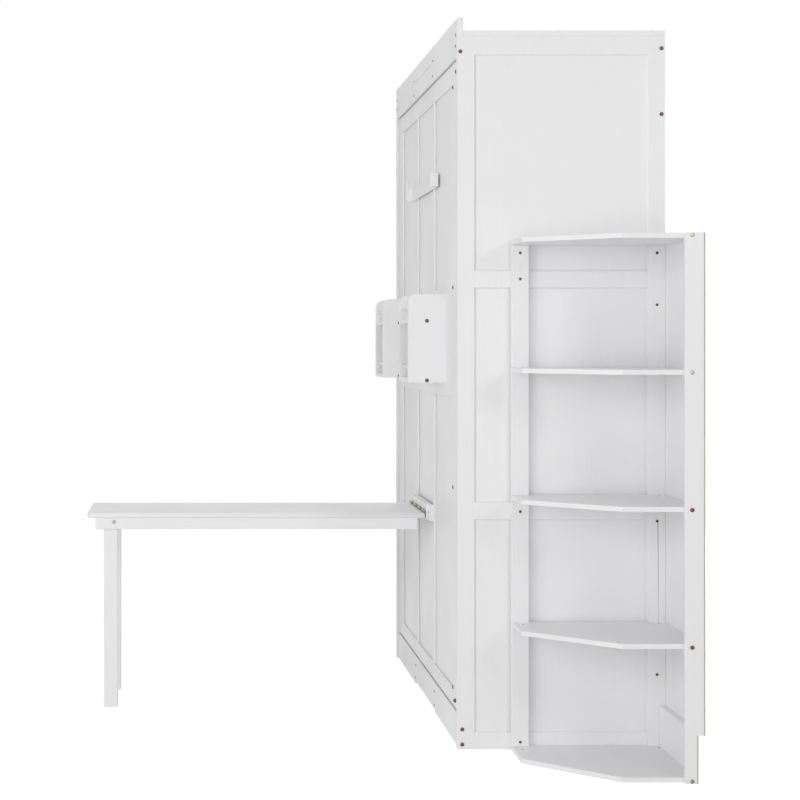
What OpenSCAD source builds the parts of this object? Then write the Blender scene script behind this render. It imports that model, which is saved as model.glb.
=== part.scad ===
// Wall bed in a tall cabinet, with a desk that folds down from the bed front,
// two book racks on the bed front and an open shelf unit on the right-hand side.
// Millimetres. X runs across the bed, Y = 0 is the wall, -Y is the room, Z is up.

/* [Cabinet] */
// Width over the two side frames
cabinet_w = 1660; // [1500:1:2000]
// Height to the upper face of the top board
cabinet_h = 2295; // [2250:1:2760]
// Depth from the wall to the front edge of the side frames
cabinet_d = 662; // [560:1:800]
// Thickness of a side frame
side_t = 30; // [24:1:40]
// Width of a side frame's upright stiles
side_stile_w = 58; // [45:1:80]
// Height of a side frame's top rail
side_top_rail_h = 62; // [45:1:90]
// Height of a side frame's two middle rails
side_mid_rail_h = 60; // [45:1:90]
// Height of a side frame's bottom rail
side_low_rail_h = 56; // [45:1:90]
// Lower edge of the upper middle rail above the floor
side_upper_rail_z = 1471; // [1300:1:1700]
// Lower edge of the lower middle rail above the floor
side_lower_rail_z = 731; // [500:1:1000]
// Thickness of the top board, crown, kick board and bed front frame
board_t = 18; // [15:1:25]
// Thickness of the wall rails and the hidden joining blocks
rail_t = 22; // [18:1:30]
// Height of the upper wall rail
wall_rail_h = 272; // [200:1:340]
// Height of the lower wall rail
low_wall_rail_h = 100; // [60:1:160]
// Lower edge of the lower wall rail above the floor
low_wall_rail_z = 160; // [150:1:300]

/* [Panels] */
// Thickness of the inset panels
panel_t = 6; // [4:1:9]
// Depth of the inset panels behind the frame's face
panel_recess = 7; // [4:1:9]
// Depth of the groove that holds an inset panel
groove_depth = 7; // [4:1:9]
// Width of the bevel round a side frame's openings
bevel_w = 5; // [2:1:8]
// Depth of the V groove where a side frame's rails meet its uprights
joint_groove = 1; // [0.5:0.1:1.5]

/* [Crown and kick board] */
// Height of the crown board
crown_h = 123; // [90:1:180]
// Height of the crown above the top board
crown_rise = 42; // [20:1:70]
// Height of the kick board
kick_h = 104; // [70:1:105]
// Depth of the kick board behind the side frames' front edge
kick_inset = 6; // [0:1:8]
// Gap under the kick board's middle section
kick_lift = 10; // [4:1:20]
// Width of the middle section of crown and kick board
middle_w = 530; // [400:1:640]
// Length of the finger groove in the crown's middle section
groove_len = 450; // [200:1:520]
// Height of that groove
groove_h = 4; // [2:1:8]
// Depth of that groove
groove_cut = 4; // [2:1:6]
// Width of the hidden blocks behind the seams
seam_block_w = 70; // [40:1:100]
// Width of the hidden blocks behind the crown's ends
end_block_w = 40; // [30:1:80]
// Distance of a hidden block from the edges of the board it joins
block_edge_gap = 5; // [2:1:10]

/* [Skirting notch] */
// Depth of the notch at the wall that clears a skirting board
notch_d = 20; // [10:1:24]
// Height of that notch
notch_h = 142; // [80:1:150]

/* [Bed] */
// Gap between bed front and side frame
bed_side_gap = 3; // [2:1:6]
// Gap between bed front and crown
bed_top_gap = 4; // [3:1:10]
// Gap between bed front and kick board
bed_low_gap = 8; // [6:1:12]
// Depth of the bed front behind the side frame's front edge
bed_inset = 8; // [4:1:10]
// Width of the bed front's outer stiles
bed_stile_w = 130; // [90:1:180]
// Height of the bed front's top rail
bed_top_rail_h = 66; // [50:1:120]
// Height of the bed front's bottom rail
bed_low_rail_h = 53; // [45:1:120]
// Lower edge of the bed front's middle rail above the floor
bed_mid_rail_z = 1120; // [1000:1:1250]
// Height of the bed front's middle rail
bed_mid_rail_h = 360; // [340:1:420]
// Width of the thin uprights between the panels
muntin_w = 32; // [24:1:45]
// Distance of those uprights from the middle of the bed
muntin_x = 221; // [200:1:300]
// Thickness of the box round the mattress
bed_box_t = 22; // [18:1:30]
// Depth of the box round the mattress
bed_box_d = 200; // [150:1:240]
// Gap between the box's end board and the top edge of the bed front
bed_head_gap = 24; // [22:1:60]
// Distance of the box's side boards inside the bed front's edge
box_side_inset = 3; // [2:1:10]
// Height of the two stops behind the bed front's top edge that overlaps it
stop_reach = 13; // [6:1:14]
// Width of a stop
stop_w = 80; // [40:1:150]
// Distance of a stop's middle from the middle of the bed
stop_x = 600; // [300:1:650]
// Width of the bearers under the slats
bearer_w = 30; // [24:1:60]
// Number of slats
slat_count = 14; // [8:1:20]
// Width of a slat
slat_w = 68; // [40:1:80]
// Thickness of a slat
slat_t = 16; // [12:1:25]

/* [Bed pivot] */
// Height of the pivot above the floor
pivot_z = 164; // [160:1:200]
// Distance of the pivot behind the bed front's face
pivot_back = 32; // [30:1:40]
// Radius of the pivot pin
pin_r = 6; // [4:0.5:10]
// Radius of the bush in the bed's side board
bush_r = 10; // [8:0.5:14]
// Radius of the pivot pin's flange
flange_r = 25; // [16:1:30]
// Radius of the pivot pin's spigot in the side frame
spigot_r = 8; // [6:0.5:12]
// Depth of the pivot pin's spigot in the side frame
spigot_len = 15; // [8:1:20]

/* [Racks] */
// Depth of a rack in front of the bed front
rack_d = 127; // [90:1:127]
// Height of a rack
rack_h = 299; // [220:1:330]
// Lower edge of a rack above the floor
rack_z = 1163; // [1130:1:1170]
// Width of a rack over its two boards
rack_w = 262; // [180:1:300]
// Distance of a rack's inner board from the middle of the bed
rack_x = 255; // [225:1:300]
// Thickness of the rack boards and rack shelves
rack_t = 15; // [12:1:20]
// Radius of a rack board's upper front corner
rack_corner_r = 28; // [10:1:60]
// Height of the rack's middle shelf above its lower edge
rack_mid_z = 201; // [120:1:230]
// Radius of the rods that keep books in
rod_r = 7; // [4:0.5:9]
// Height of a rod's axis above the shelf it guards
rod_rise = 37; // [25:1:60]
// Distance of a rod's axis behind the rack's front edge
rod_back = 16; // [12:1:30]
// Depth of a rod's end in a rack board
rod_seat = 5; // [3:1:8]
// Distance of a rack shelf's front edge behind the rack boards' front edges
rack_shelf_back = 4; // [0:1:12]

/* [Desk] */
// Length of the desk top out from the hinge
desk_l = 1197; // [900:1:1400]
// Width of the desk top
desk_w = 408; // [340:1:440]
// Thickness of the desk top
desk_t = 18; // [15:1:25]
// Height of the desk's surface above the floor
desk_z = 693; // [620:1:780]
// Radius of the desk top's outer corners
desk_corner_r = 26; // [5:1:60]
// Height of the aprons under the desk top
apron_h = 40; // [38:1:70]
// Thickness of the aprons
apron_t = 15; // [12:1:20]
// Overhang of the desk top past the long aprons
apron_side_inset = 8; // [3:1:30]
// Overhang of the desk top past the outer apron
apron_end_inset = 29; // [10:1:60]
// Distance of the inner apron from the hinge edge
apron_hinge_inset = 24; // [20:1:60]
// Width and depth of a leg
leg_w = 50; // [35:1:60]
// Gap between the outer apron and a leg
leg_end_gap = 14; // [5:1:40]
// Distance of a leg's pivot below the desk top
leg_pivot_drop = 14; // [13:1:19]
// Gap between the folded leg and the desk top
leg_fold_gap = 1; // [0.5:0.5:3]
// Radius of a leg's pivot bolt
leg_pin_r = 4; // [3:0.5:6]

/* [Desk hinges] */
// Thickness of the batten that carries the desk
batten_t = 24; // [20:1:40]
// Height of that batten
batten_h = 57; // [45:1:90]
// Distance of the batten's lower edge below the desk's surface
batten_drop = 26; // [24:1:40]
// Length of the batten past each side of the desk
batten_past_desk = 1; // [0:1:5]
// Length of the batten's thin ears past the middle of the upright they are screwed to
batten_ear_past = 8; // [6:1:20]
// Thickness of the ears
batten_ear_t = 16; // [10:1:18]
// Radius of the batten's rounded lower edge
batten_round_r = 12; // [4:1:13]
// Number of hinges
hinge_count = 4; // [2:1:5]
// Width of a hinge
hinge_w = 76; // [50:1:80]
// Gap between the outer hinges' ends and the desk's sides
hinge_end_gap = 4; // [0:1:10]
// Length of a hinge leaf below the hinge axis
leaf_l = 20; // [14:1:20]
// Thickness of a hinge leaf
leaf_t = 1.5; // [1:0.1:2]
// Gap between the desk's hinge edge and the batten, which takes the hinge leaves
leaf_gap = 5; // [4.5:0.5:6]
// Gap between a hinge knuckle and the desk surface, and between it and the batten
knuckle_gap = 1; // [0.5:0.5:3]
// Radius of a hinge knuckle
knuckle_r = 4; // [4:0.5:7]
// Radius of a hinge pin
hinge_pin_r = 2; // [1.5:0.1:3]

/* [Desk rest] */
// Height of the bar behind the folded desk's end
rest_h = 48; // [30:1:60]
// Thickness of that bar
rest_t = 5; // [4:1:20]
// Height of the folded desk's end above the bar
rest_drop = 8; // [0:1:20]
// Distance of the bar's brackets from the middle of the bed
bracket_x = 323; // [300:1:400]
// Thickness of a bracket
bracket_w = 18; // [12:1:70]
// Depth of a bracket
bracket_d = 28; // [22:1:36]
// Height of the left bracket's upturned lip
lip_h = 30; // [15:1:45]
// Thickness of that lip
lip_t = 9; // [6:1:14]

/* [Shelf unit] */
// Height of the shelf unit
shelf_top_z = 1624; // [1300:1:2000]
// Depth of the shelf unit out from the cabinet
shelf_out = 422; // [300:1:520]
// Depth of a shelf's narrow front end
shelf_nose = 187; // [120:1:250]
// Distance of a shelf's front end from the wall
shelf_run = 493; // [400:1:560]
// Distance from the wall at which a shelf reaches its full depth
shelf_knee = 241; // [120:1:300]
// Thickness of a shelf
shelf_t = 15; // [12:1:22]
// Distance between the upper faces of two shelves
shelf_pitch = 405; // [250:1:405]
// Width of the outer post
post_w = 56; // [40:1:80]
// Thickness of the outer post
post_t = 18; // [15:1:25]
// Distance of the post's bolts behind its front edge
post_bolt_in = 21; // [12:1:28]
// Width of the cleats on the side frame
cleat_w = 55; // [40:1:80]
// Thickness of the cleats on the side frame
cleat_t = 20; // [15:1:30]
// Thickness of the hardboard back
back_t = 3; // [3:0.5:6]

/* [Fasteners] */
// Radius of a furniture bolt's head
bolt_head_r = 6.5; // [5:0.5:9]
// Height of a furniture bolt's head
bolt_head_h = 2.5; // [1.5:0.5:4]
// Radius of a furniture bolt's shank
bolt_r = 3; // [2:0.5:4]
// Radius of a screw's head
screw_head_r = 4.5; // [3:0.5:6]
// Radius across the corners of the socket in a furniture bolt's head
socket_r = 2.5; // [1.5:0.5:4]
// Depth of that socket
socket_d = 1; // [0.5:0.5:1.5]
// Height of a screw's head
screw_head_h = 1.5; // [1:0.5:3]
// Radius of a screw's shank
screw_r = 2; // [1.5:0.5:3]
// Depth of thread in the second piece of wood
bite = 25; // [15:1:30]
// Height of the crown's end bolts above the crown's lower edge
crown_bolt_up = 14; // [8:1:40]
// Height of the kick board's lower end bolts above the floor
kick_bolt_low = 16; // [10:1:30]
// Height of the kick board's upper end bolts above the floor
kick_bolt_high = 64; // [45:1:70]
// Distance of the upper wall rail's upper bolts from its upper edge
wall_bolt_top = 39; // [20:1:90]
// Distance of the upper wall rail's lower bolts from its lower edge
wall_bolt_low = 23; // [15:1:90]
// Gap between the heads of the top board's front bolts and the crown
top_bolt_front = 1.5; // [0.5:0.5:20]
// Distance of the top board's middle bolts from the cabinet's front
top_bolt_middle = 324; // [200:1:450]
// Distance of the top board's rear bolts from the wall
top_bolt_rear = 38; // [30:1:60]
// Distance of the crown's and kick board's screws from a seam or end
seam_screw_in = 12; // [8:1:25]
// Distance of the crown's upper screws from the top board's upper face
crown_screw_top = 7; // [5:1:10]
// Height of the crown's lower end screws above the crown's lower edge
crown_screw_end = 38; // [30:1:50]
// Height of the crown's lower seam screws above the crown's lower edge
crown_screw_seam = 20; // [15:1:50]
// Height of the kick board's upper screws above the floor
kick_screw_high = 71; // [60:1:84]
// Height of the kick board's lower screws above the floor
kick_screw_low = 23; // [22:1:50]
// Distance of the bearer bolts from the stile's inner edge
bearer_bolt_in = 13; // [8:1:20]
// Distance of the lowest bearer bolt from the bed front's lower edge
bearer_bolt_low = 58; // [40:1:120]
// Distance of the highest bearer bolt from the bed front's upper edge
bearer_bolt_top = 76; // [60:1:120]
// Distance of the corner bolts from the stile's inner edge
corner_bolt_in = 73; // [60:1:95]
// Distance of the lower corner bolt from the bed front's lower edge
corner_bolt_low = 26; // [26:1:60]
// Height of the top end screws below the shelf unit's top
cleat_screw_top = 40; // [25:1:60]
// Height of the rear cleat's lowest screw above the skirting notch
cleat_screw_low = 101; // [30:1:150]
// Height of the rear cleat's second screw below the middle shelf's upper face
cleat_screw_under = 83; // [40:1:150]
// Height of the rear cleat's third screw above the fourth shelf's upper face
cleat_screw_over = 200; // [60:1:220]
// Distance of the batten's ear screws from the ears' ends
ear_screw_in = 12; // [7:1:15]
// Height of the batten's ear screws above its lower edge
ear_screw_up = 31; // [10:1:40]
// Length of a short screw in one piece of wood
short_screw = 18; // [12:1:19]
// Wood left behind the end of a blind hole
blind = 4; // [3:0.5:6]
// Radius of the wall anchor holes
anchor_r = 3.5; // [2.5:0.5:5]
// Distance between the wall anchor holes, across the bed
anchor_x = 1200; // [600:1:1300]
// Distance between the wall anchor holes, up the rail
anchor_z = 180; // [80:1:200]

/* [Clearances] */
// Gap round a panel in its groove
panel_gap = 0.5; // [0.2:0.1:1]
// Gap between wooden pieces that fit together
fit_gap = 0.3; // [0.1:0.1:0.6]
// Radial gap of a turning pin
run_gap = 0.05; // [0.02:0.01:0.1]
// Radial gap round a bolt's or screw's shank
hole_gap = 0.2; // [0.1:0.1:0.5]
// Gap between the pivot pin's flange and the bed front's edge
flange_gap = 0.5; // [0.3:0.1:0.8]
// Gap at each end of a slat
slat_gap = 2; // [1:0.5:4]
// Gap between a leg and the long apron
leg_side_gap = 0.6; // [0.3:0.1:1.5]
// Gap between the free end of a bolt, screw or rod and the end of its hole
end_gap = 1; // [0.5:0.5:2]

/* [Hidden] */
$fn = 32;

paint = "white";
raw_board = "sienna";
steel = "silver";
bronze = "saddlebrown";
brass = "goldenrod";
pine = "burlywood";

// Length by which a cutting shape passes the face it cuts
over = 1;

// Cabinet
side_x = cabinet_w / 2;
inner_x = side_x - side_t;
frame_top = cabinet_h - board_t;
front_y = -cabinet_d;
behind_front = front_y + board_t;
kick_y = [front_y + kick_inset, behind_front + kick_inset];
crown_top = cabinet_h + crown_rise;
crown_z = crown_top - crown_h;
seam_x = middle_w / 2;
anchor_mid_z = frame_top - wall_rail_h / 2;
side_openings = [[side_low_rail_h, side_lower_rail_z],
    [side_lower_rail_z + side_mid_rail_h, side_upper_rail_z],
    [side_upper_rail_z + side_mid_rail_h, frame_top - side_top_rail_h]];
side_open_y = [front_y + side_stile_w, -side_stile_w];
joint_run = bevel_w - joint_groove;
joint_ends = concat(-over, [for (o = side_openings, z = [o[0] - joint_run, o[1] + joint_run]) z],
    frame_top + over);

// Bed
face_y = front_y + bed_inset;
bed_back_y = face_y + board_t;
bed_x = inner_x - bed_side_gap;
bed_low = kick_h + bed_low_gap;
bed_top = crown_z - bed_top_gap;
stile_x = bed_x - bed_stile_w;
bed_columns = [[-stile_x, -muntin_x - muntin_w / 2], [-muntin_x + muntin_w / 2, muntin_x - muntin_w / 2],
    [muntin_x + muntin_w / 2, stile_x]];
bed_rows = [[bed_low + bed_low_rail_h, bed_mid_rail_z],
    [bed_mid_rail_z + bed_mid_rail_h, bed_top - bed_top_rail_h]];
pivot_y = face_y + pivot_back;
flange_t = bed_side_gap - flange_gap;
box_x = bed_x - box_side_inset;
box_in = box_x - bed_box_t;
box_back = bed_back_y + bed_box_d;
box_top = bed_top - bed_head_gap;
inside_z = [bed_low + board_t, box_top - board_t];
bearer_y = bed_back_y + rail_t;

// Racks
rack_out = rack_x + rack_w;
rack_front = face_y - rack_d;
rack_shelf_zs = [rack_z, rack_z + rack_mid_z];
rod_l = rack_w - 2 * rack_t + 2 * rod_seat;

// Desk, batten and rest
axis_off = knuckle_r + knuckle_gap;
axis_y = face_y - batten_t - axis_off;
axis_z = desk_z + axis_off;
desk_end_y = axis_y - desk_l;
desk_edge_y = face_y - batten_t - leaf_gap;
desk_under = desk_z - desk_t;
apron_x = desk_w / 2 - apron_side_inset;
apron_in = apron_x - apron_t;
apron_y = [desk_end_y + apron_end_inset, axis_y - apron_hinge_inset];
leg_top_r = leg_pivot_drop - leg_fold_gap;
leg_front_y = apron_y[0] + apron_t + leg_end_gap;
leg_pivot_y = leg_front_y + leg_w - leg_top_r;
leg_pivot_z = desk_under - leg_pivot_drop;
leg_x = apron_in - leg_side_gap;
leg_bolt_l = apron_t + leg_side_gap + leg_w - blind;
batten_low = desk_z - batten_drop;
batten_top = batten_low + batten_h;
batten_x = desk_w / 2 + batten_past_desk;
ear_x = muntin_x + batten_ear_past;
hinge_pitch = (desk_w - 2 * hinge_end_gap - hinge_w) / (hinge_count - 1);
rest_z = [axis_z + desk_l - rest_drop - rest_h, axis_z + desk_l - rest_drop];

// Shelf unit
shelf_x = side_x + shelf_out;
post_x = shelf_x + post_t;
back_y = -back_t;
low_back_y = -notch_d - back_t;
shelf_tops = [shelf_t, shelf_top_z - 3 * shelf_pitch, shelf_top_z - 2 * shelf_pitch,
    shelf_top_z - shelf_pitch, shelf_top_z];
front_cleat_y = [-shelf_run, -shelf_run + cleat_w];
rear_cleat_y = [back_y - cleat_w, back_y];

// Where the bolts and screws sit: [y, z] on the side frames, y on the top board, [x, y, z] on the front
side_bolt_spots = [[front_y + board_t / 2, crown_z + crown_bolt_up],
    [kick_y[0] + board_t / 2, kick_bolt_high], [kick_y[0] + board_t / 2, kick_bolt_low],
    [-rail_t / 2, frame_top - wall_bolt_top], [-rail_t / 2, frame_top - wall_rail_h + wall_bolt_low]];
top_bolt_ys = [behind_front + bolt_head_r + top_bolt_front, front_y + top_bolt_middle, -top_bolt_rear];
front_screw_spots = [[inner_x - seam_screw_in, front_y, cabinet_h - crown_screw_top],
    [inner_x - seam_screw_in, front_y, crown_z + crown_screw_end],
    [seam_x - seam_screw_in, front_y, cabinet_h - crown_screw_top],
    [seam_x - seam_screw_in, front_y, crown_z + crown_screw_seam],
    [seam_x - seam_screw_in, kick_y[0], kick_screw_high],
    [seam_x - seam_screw_in, kick_y[0], kick_screw_low]];

// Bed front bolts: four into each outer bearer, one into each corner block and one into the head board
bearer_bolt_zs = [for (i = [0 : 3])
    bed_low + bearer_bolt_low + i * (bed_top - bearer_bolt_top - bed_low - bearer_bolt_low) / 3];
corner_bolt_zs = [bed_low + corner_bolt_low, box_top - board_t / 2];
corner_bolt_x = stile_x + corner_bolt_in;
bearer_bolt_x = stile_x + bearer_bolt_in;

// Cleat screws as [height, length]: the front ones that meet a rail of the side frame are long
long_screw = cleat_t + side_t - 2 * blind + end_gap;
front_cleat_screws = [[side_low_rail_h / 2, long_screw],
    [side_lower_rail_z + side_mid_rail_h / 2, long_screw],
    [side_upper_rail_z + side_mid_rail_h / 2, long_screw],
    [shelf_top_z - cleat_screw_top, short_screw]];
rear_cleat_screws = [[notch_h + cleat_screw_low, long_screw],
    [shelf_tops[2] - cleat_screw_under, long_screw],
    [shelf_tops[3] + cleat_screw_over, long_screw],
    [shelf_top_z - cleat_screw_top, long_screw]];

// Plain shapes
module block(x, y, z) {
    translate([x[0], y[0], z[0]]) cube([x[1] - x[0], y[1] - y[0], z[1] - z[0]]);
}

module both_sides() {
    children();
    mirror([1, 0, 0]) children();
}

// A cylinder along +X, +Y or +Z from a point
module along_x(at, r, l) {
    translate(at) rotate([0, 90, 0]) cylinder(r = r, h = l);
}

module along_y(at, r, l) {
    translate(at) rotate([-90, 0, 0]) cylinder(r = r, h = l);
}

// Furniture bolt with a six-sided socket in its low round head, shank down -Z, head on the plane Z = 0
module bolt(l, r = bolt_r) {
    difference() {
        union() {
            translate([0, 0, -l]) cylinder(r = r, h = l + bolt_head_h / 2);
            cylinder(r1 = bolt_head_r, r2 = bolt_head_r - 1, h = bolt_head_h);
        }
        translate([0, 0, bolt_head_h - socket_d]) cylinder(r = socket_r, h = socket_d + over, $fn = 6);
    }
}

// Screw with a low round head, placed like the bolt
module screw(l) {
    translate([0, 0, -l]) cylinder(r = screw_r, h = l + screw_head_h / 2);
    cylinder(r1 = screw_head_r, r2 = screw_head_r - 1, h = screw_head_h);
}

// Blind hole for the shank of a bolt or screw that is placed the same way
module shank_hole(r, l) {
    translate([0, 0, -l - end_gap]) cylinder(r = r + hole_gap, h = l + end_gap + over);
}

// Turns a bolt so that its head looks along +X or -Y
module facing_x(at) {
    translate(at) rotate([0, 90, 0]) children();
}

module facing_front(at) {
    translate(at) rotate([90, 0, 0]) children();
}

// Side frames
module side_panel_set(grow) {
    panel_x = side_x - panel_recess - panel_t;
    for (o = side_openings)
        block([panel_x - grow / 2, panel_x + panel_t + grow / 2],
            [side_open_y[0] - groove_depth - grow, side_open_y[1] + groove_depth + grow],
            [o[0] - groove_depth - grow, o[1] + groove_depth + grow]);
}

// Opening with a bevel towards the outer face
module side_opening(o) {
    block([inner_x - over, side_x + over], side_open_y, o);
    hull() {
        block([side_x, side_x + over], [side_open_y[0] - bevel_w, side_open_y[1] + bevel_w],
            [o[0] - bevel_w, o[1] + bevel_w]);
        block([side_x - bevel_w, side_x], side_open_y, o);
    }
}

// Grooves along the ends of the rails, in the outer face
module joint_lines() {
    for (y = [side_open_y[0] - bevel_w, side_open_y[1] + bevel_w])
        for (i = [0 : 2 : len(joint_ends) - 2])
            translate([side_x, y, joint_ends[i]])
                cylinder(r = joint_groove, h = joint_ends[i + 1] - joint_ends[i], $fn = 4);
}

module side_frame() {
    difference() {
        block([inner_x, side_x], [front_y, 0], [0, frame_top]);
        for (o = side_openings)
            side_opening(o);
        joint_lines();
        side_panel_set(panel_gap);
        block([inner_x - over, side_x + over], [-notch_d, over], [-over, notch_h]);
        side_bolt_holes();
        top_bolt_holes();
        along_x([inner_x - over, pivot_y, pivot_z], spigot_r + run_gap, spigot_len + over + end_gap);
    }
}

module side_bolt_holes() {
    for (s = side_bolt_spots)
        facing_x([side_x, s[0], s[1]]) shank_hole(bolt_r, side_t + bite);
}

module top_bolt_holes() {
    for (y = top_bolt_ys)
        translate([side_x - side_t / 2, y, cabinet_h]) shank_hole(bolt_r, board_t + bite);
}

module right_side_frame() {
    color(paint) difference() {
        side_frame();
        cleat_screw_holes();
    }
}

module left_side_frame() {
    color(paint) mirror([1, 0, 0]) side_frame();
}

module right_side_panels() {
    color(paint) side_panel_set(0);
}

module left_side_panels() {
    color(paint) mirror([1, 0, 0]) side_panel_set(0);
}

// Boards that tie the side frames together
module top_board() {
    color(paint) difference() {
        block([-side_x, side_x], [behind_front, 0], [frame_top, cabinet_h]);
        both_sides() {
            top_bolt_holes();
            front_screw_holes();
        }
    }
}

module front_screw_holes() {
    for (s = front_screw_spots)
        facing_front(s) shank_hole(screw_r, board_t + rail_t - blind);
}

module crown_end() {
    difference() {
        union() {
            block([seam_x, inner_x], [front_y, behind_front], [crown_z, crown_top]);
            block([seam_x, side_x], [front_y, behind_front], [frame_top, crown_top]);
        }
        side_bolt_holes();
        front_screw_holes();
    }
}

module crown_right() {
    color(paint) crown_end();
}

module crown_left() {
    color(paint) mirror([1, 0, 0]) crown_end();
}

// The middle section has a routed finger groove along its face
module crown_middle() {
    color(paint) difference() {
        block([-seam_x, seam_x], [front_y, behind_front], [crown_z, crown_top]);
        block([-groove_len / 2, groove_len / 2], [front_y - over, front_y + groove_cut],
            [frame_top, frame_top + groove_h]);
        both_sides() front_screw_holes();
    }
}

module kick_end() {
    difference() {
        block([seam_x, inner_x], kick_y, [0, kick_h]);
        side_bolt_holes();
    }
}

module kick_right() {
    color(paint) kick_end();
}

module kick_left() {
    color(paint) mirror([1, 0, 0]) kick_end();
}

module kick_middle() {
    color(paint) difference() {
        block([-seam_x, seam_x], kick_y, [kick_lift, kick_h]);
        both_sides() front_screw_holes();
    }
}

// Hidden blocks that the crown's and the kick board's sections are screwed to
module joining_block(x, y, z) {
    block(x, [y, y + rail_t], [z[0] + block_edge_gap, z[1] - block_edge_gap]);
}

module joining_blocks() {
    seam = [seam_x - seam_block_w / 2, seam_x + seam_block_w / 2];
    color(pine) both_sides() difference() {
        union() {
            joining_block(seam, behind_front, [crown_z, frame_top]);
            joining_block([inner_x - end_block_w, inner_x], behind_front, [crown_z, frame_top]);
            joining_block(seam, kick_y[1], [kick_lift, kick_h - block_edge_gap * 2]);
        }
        front_screw_holes();
    }
}

// The upper wall rail has four holes for the anchors that hold the cabinet to the wall
module upper_wall_rail() {
    color(pine) difference() {
        block([-inner_x, inner_x], [-rail_t, 0], [frame_top - wall_rail_h, frame_top]);
        both_sides() {
            side_bolt_holes();
            for (z = [-1, 1])
                along_y([anchor_x / 2, -rail_t - over, anchor_mid_z + z * anchor_z / 2], anchor_r,
                    rail_t + 2 * over);
        }
    }
}

module lower_wall_rail() {
    z = [low_wall_rail_z, low_wall_rail_z + low_wall_rail_h];
    color(pine) block([-inner_x, inner_x], [-rail_t, 0], z);
}

// Blocks under the top board that the closed bed's upper edge leans against
module bed_stops() {
    y = bed_back_y + fit_gap;
    color(pine) both_sides()
        block([stop_x - stop_w / 2, stop_x + stop_w / 2], [y, y + rail_t], [bed_top - stop_reach, frame_top]);
}

module side_bolts() {
    color(bronze) both_sides()
        for (s = side_bolt_spots)
            facing_x([side_x, s[0], s[1]]) bolt(side_t + bite);
}

module top_bolts() {
    color(bronze) both_sides()
        for (y = top_bolt_ys)
            translate([side_x - side_t / 2, y, cabinet_h]) bolt(board_t + bite);
}

module front_screws() {
    color(bronze) both_sides()
        for (s = front_screw_spots)
            facing_front(s) screw(board_t + rail_t - blind);
}

// Pivot pin, flange and spigot turned from one piece
module pivot_pins() {
    color(steel) both_sides() {
        along_x([box_in + end_gap, pivot_y, pivot_z], pin_r, inner_x - box_in);
        along_x([inner_x - flange_t, pivot_y, pivot_z], flange_r, flange_t);
        along_x([inner_x - over, pivot_y, pivot_z], spigot_r, spigot_len + over);
    }
}

module pivot_bushes() {
    color(brass) both_sides() difference() {
        along_x([box_in, pivot_y, pivot_z], bush_r, bed_box_t);
        along_x([box_in - over, pivot_y, pivot_z], pin_r + run_gap, bed_box_t + 2 * over);
    }
}

// Shelf unit
module shelf_outline(rear_y) {
    polygon([[side_x, rear_y], [side_x, -shelf_run], [side_x + shelf_nose, -shelf_run],
        [shelf_x, -shelf_knee], [shelf_x, rear_y]]);
}

module cleat(y) {
    difference() {
        block([side_x, side_x + cleat_t], y, [shelf_t, shelf_top_z - shelf_t]);
        block([side_x - over, side_x + cleat_t + over], [low_back_y, over], [0, notch_h]);
        cleat_screw_holes();
    }
}

// Places a long or a short screw, or its hole, at each spot of both cleats
module at_cleat_spot(y, z) {
    facing_x([side_x + cleat_t, y[0] + cleat_w / 2, z]) children();
}

module cleat_screw_holes() {
    for (s = front_cleat_screws)
        at_cleat_spot(front_cleat_y, s[0]) shank_hole(screw_r, s[1]);
    for (s = rear_cleat_screws)
        at_cleat_spot(rear_cleat_y, s[0]) shank_hole(screw_r, s[1]);
}

// Room in a shelf's edge for the head of a screw that sits at the shelf's height
module cleat_head_room() {
    for (s = front_cleat_screws)
        at_cleat_spot(front_cleat_y, s[0]) head_room();
    for (s = rear_cleat_screws)
        at_cleat_spot(rear_cleat_y, s[0]) head_room();
}

module head_room() {
    cylinder(r = screw_head_r + fit_gap, h = screw_head_h + fit_gap);
}

module cleat_screws() {
    color(bronze) {
        for (s = front_cleat_screws)
            at_cleat_spot(front_cleat_y, s[0]) screw(s[1]);
        for (s = rear_cleat_screws)
            at_cleat_spot(rear_cleat_y, s[0]) screw(s[1]);
    }
}

module shelf_front_cleat() {
    color(paint) cleat(front_cleat_y);
}

module shelf_rear_cleat() {
    color(paint) cleat(rear_cleat_y);
}

module shelf_bolt_spots() {
    for (z = shelf_tops)
        facing_x([post_x, back_y - post_w + post_bolt_in, z - shelf_t / 2]) children();
}

module shelf_bolt_holes() {
    shelf_bolt_spots() shank_hole(bolt_r, post_t + bite);
}

module shelf_bolts() {
    color(brass) shelf_bolt_spots() bolt(post_t + bite);
}

// One shelf, notched round the two cleats where they pass it
module shelf(i) {
    notched = i > 0 && i < len(shelf_tops) - 1;
    rear_y = i == 0 ? low_back_y : back_y;
    color(paint) difference() {
        translate([0, 0, shelf_tops[i] - shelf_t]) linear_extrude(shelf_t) shelf_outline(rear_y);
        if (notched)
            for (y = [front_cleat_y, rear_cleat_y])
                block([side_x - over, side_x + cleat_t + fit_gap], [y[0] - fit_gap, y[1] + fit_gap],
                    [0, shelf_top_z]);
        cleat_head_room();
        shelf_bolt_holes();
    }
}

module shelf_post() {
    color(paint) difference() {
        block([shelf_x, post_x], [back_y - post_w, back_y], [0, shelf_top_z]);
        block([shelf_x - over, post_x + over], [low_back_y, over], [-over, notch_h]);
        shelf_bolt_holes();
    }
}

// Hardboard: the tall back, the low back in front of the skirting board and the ledge between
module shelf_back_panels() {
    color(raw_board) {
        block([side_x, post_x], [back_y, 0], [notch_h, shelf_top_z]);
        block([side_x, post_x], [low_back_y, -notch_d], [0, notch_h]);
        block([side_x + cleat_t, shelf_x], [low_back_y, back_y], [notch_h, notch_h + back_t]);
    }
}

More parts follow.
